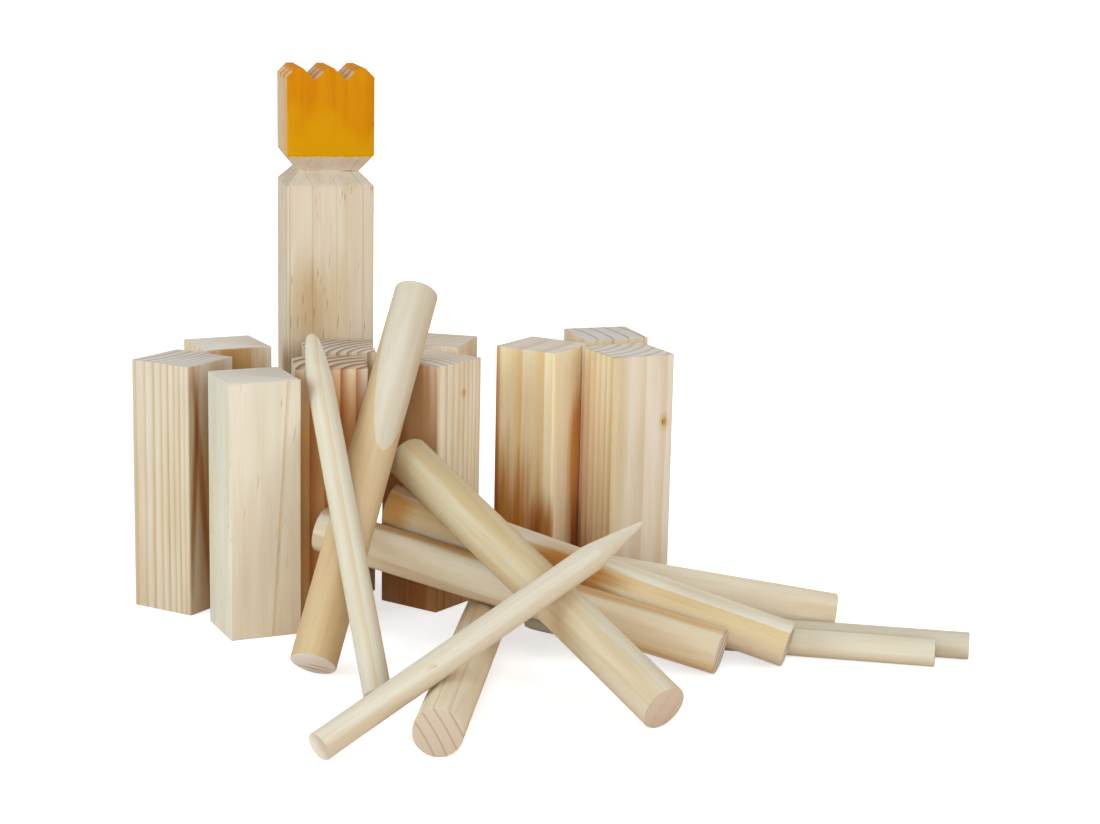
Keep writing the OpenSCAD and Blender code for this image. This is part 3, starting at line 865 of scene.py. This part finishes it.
# The studio is in metres. Seen directly, the floor and the world have their own tones, and
# the floor glows: nearGlow up to glowFrom from the origin, rising to farGlow at glowTo.
studio = {
    "floorSize": 12.0, "floorAt": (0.1, 0, 0), "floorColour": (224, 194, 156),
    "floorSeen": (228, 228, 228), "nearGlow": 0.62, "farGlow": 1.0, "glowFrom": 0.6,
    "glowTo": 2.5, "worldColour": (255, 220, 172), "worldLight": 0.18, "worldSeen": 1.1,
    "lampAim": (0.05, -0.15, 0.12),
}
lamps = {
    "windowLeft": {"at": (-2.8, -1.1, 1.1), "size": 2.0, "power": 77,
                   "colour": (210, 233, 255)},
    "softFront": {"at": (-0.6, -3.2, 0.75), "size": 2.2, "power": 62,
                  "colour": (226, 240, 255)},
    "softRight": {"at": (2.1, -2.4, 1.0), "size": 2.2, "power": 44,
                  "colour": (226, 240, 255)},
    "overhead": {"at": (0.0, -0.4, 2.8), "size": 2.4, "power": 28,
                 "colour": (222, 238, 255)},
    "behind": {"at": (1.3, 2.6, 1.6), "size": 2.0, "power": 34, "colour": (255, 240, 222)},
}


def seenDirectly(tree):
    # 1 where the eye, a gloss or a glass looks at the surface itself, 0 for its light.
    path = addNode(tree, "LightPath")
    seen = maths(tree, "MAXIMUM", path.outputs["Is Camera Ray"], path.outputs["Is Glossy Ray"])
    return maths(tree, "MAXIMUM", seen, path.outputs["Is Transmission Ray"])


def makeFloor():
    deselectAll()
    bpy.ops.mesh.primitive_plane_add(size=studio["floorSize"], location=studio["floorAt"])
    floor = bpy.context.object
    floor.name = "studioFloor"
    applyPlace(floor)
    material = bpy.data.materials.new("floorPaper")
    material.use_nodes = True
    tree = material.node_tree
    shader = tree.nodes["Principled BSDF"]
    seen = seenDirectly(tree)
    feed(tree, shader.inputs["Base Color"],
         mixColours(tree, seen, colour(studio["floorColour"]), colour(studio["floorSeen"])))
    shader.inputs["Roughness"].default_value = 1.0
    shader.inputs["Specular IOR Level"].default_value = 0.0
    glow = addNode(tree, "Emission")
    away = vectorMaths(tree, "LENGTH", addNode(tree, "TexCoord").outputs["Object"])
    level = remap(tree, away, studio["glowFrom"], studio["glowTo"], studio["nearGlow"],
                  studio["farGlow"])
    feed(tree, glow.inputs["Strength"], maths(tree, "MULTIPLY", seen, level))
    both = addNode(tree, "AddShader")
    feed(tree, both.inputs[0], shader.outputs[0])
    feed(tree, both.inputs[1], glow.outputs[0])
    feed(tree, tree.nodes["Material Output"].inputs["Surface"], both.outputs[0])
    floor.data.materials.append(material)


def makeWorld():
    scene = bpy.context.scene
    world = bpy.data.worlds.new("whiteRoom")
    scene.world = world
    world.use_nodes = True
    tree = world.node_tree
    light = tree.nodes["Background"]
    light.inputs["Color"].default_value = colour(studio["worldColour"])
    light.inputs["Strength"].default_value = studio["worldLight"]
    seen = addNode(tree, "Background")
    seen.inputs["Color"].default_value = (1, 1, 1, 1)
    seen.inputs["Strength"].default_value = studio["worldSeen"]
    mixed = addNode(tree, "MixShader")
    feed(tree, mixed.inputs[0], seenDirectly(tree))
    feed(tree, mixed.inputs[1], light.outputs[0])
    feed(tree, mixed.inputs[2], seen.outputs[0])
    feed(tree, tree.nodes["World Output"].inputs["Surface"], mixed.outputs[0])
    scene.view_settings.view_transform = "Standard"


def makeLamp(name, lamp):
    data = bpy.data.lights.new(name, "AREA")
    data.shape = "SQUARE"
    data.size = lamp["size"]
    data.energy = lamp["power"]
    data.color = colour(lamp["colour"])[:3]
    made = bpy.data.objects.new(name, data)
    bpy.context.scene.collection.objects.link(made)
    made.location = lamp["at"]
    aim = Vector(studio["lampAim"]) - Vector(lamp["at"])
    made.rotation_euler = aim.to_track_quat("-Z", "Y").to_euler()


# The photograph's view: lens and sensor in millimetres, place in metres, the way it looks
# on the level, and its tilt down and its roll in degrees.
camera = {"lens": 76.19, "sensor": 36, "at": (-0.2290, -1.7747, 0.5024),
          "aim": (0.22495, 0.97437), "down": 11.994, "roll": 1.246}


def makeCamera():
    data = bpy.data.cameras.new("photoCamera")
    data.sensor_width = camera["sensor"]
    data.lens = camera["lens"]
    made = bpy.data.objects.new("photoCamera", data)
    bpy.context.scene.collection.objects.link(made)
    pitch, roll = math.radians(camera["down"]), math.radians(camera["roll"])
    level = Vector((*camera["aim"], 0))
    forward = level * math.cos(pitch) - Vector((0, 0, math.sin(pitch)))
    right = Vector((level.y, -level.x, 0))
    above = right.cross(forward)
    tiltedRight = right * math.cos(roll) + above * math.sin(roll)
    tiltedUp = above * math.cos(roll) - right * math.sin(roll)
    turned = Matrix((tiltedRight, tiltedUp, -forward)).transposed()
    made.matrix_world = Matrix.Translation(camera["at"]) @ turned.to_4x4()
    bpy.context.scene.camera = made


makeFloor()
makeWorld()
for name, lamp in lamps.items():
    makeLamp(name, lamp)
makeCamera()
print("studio made")
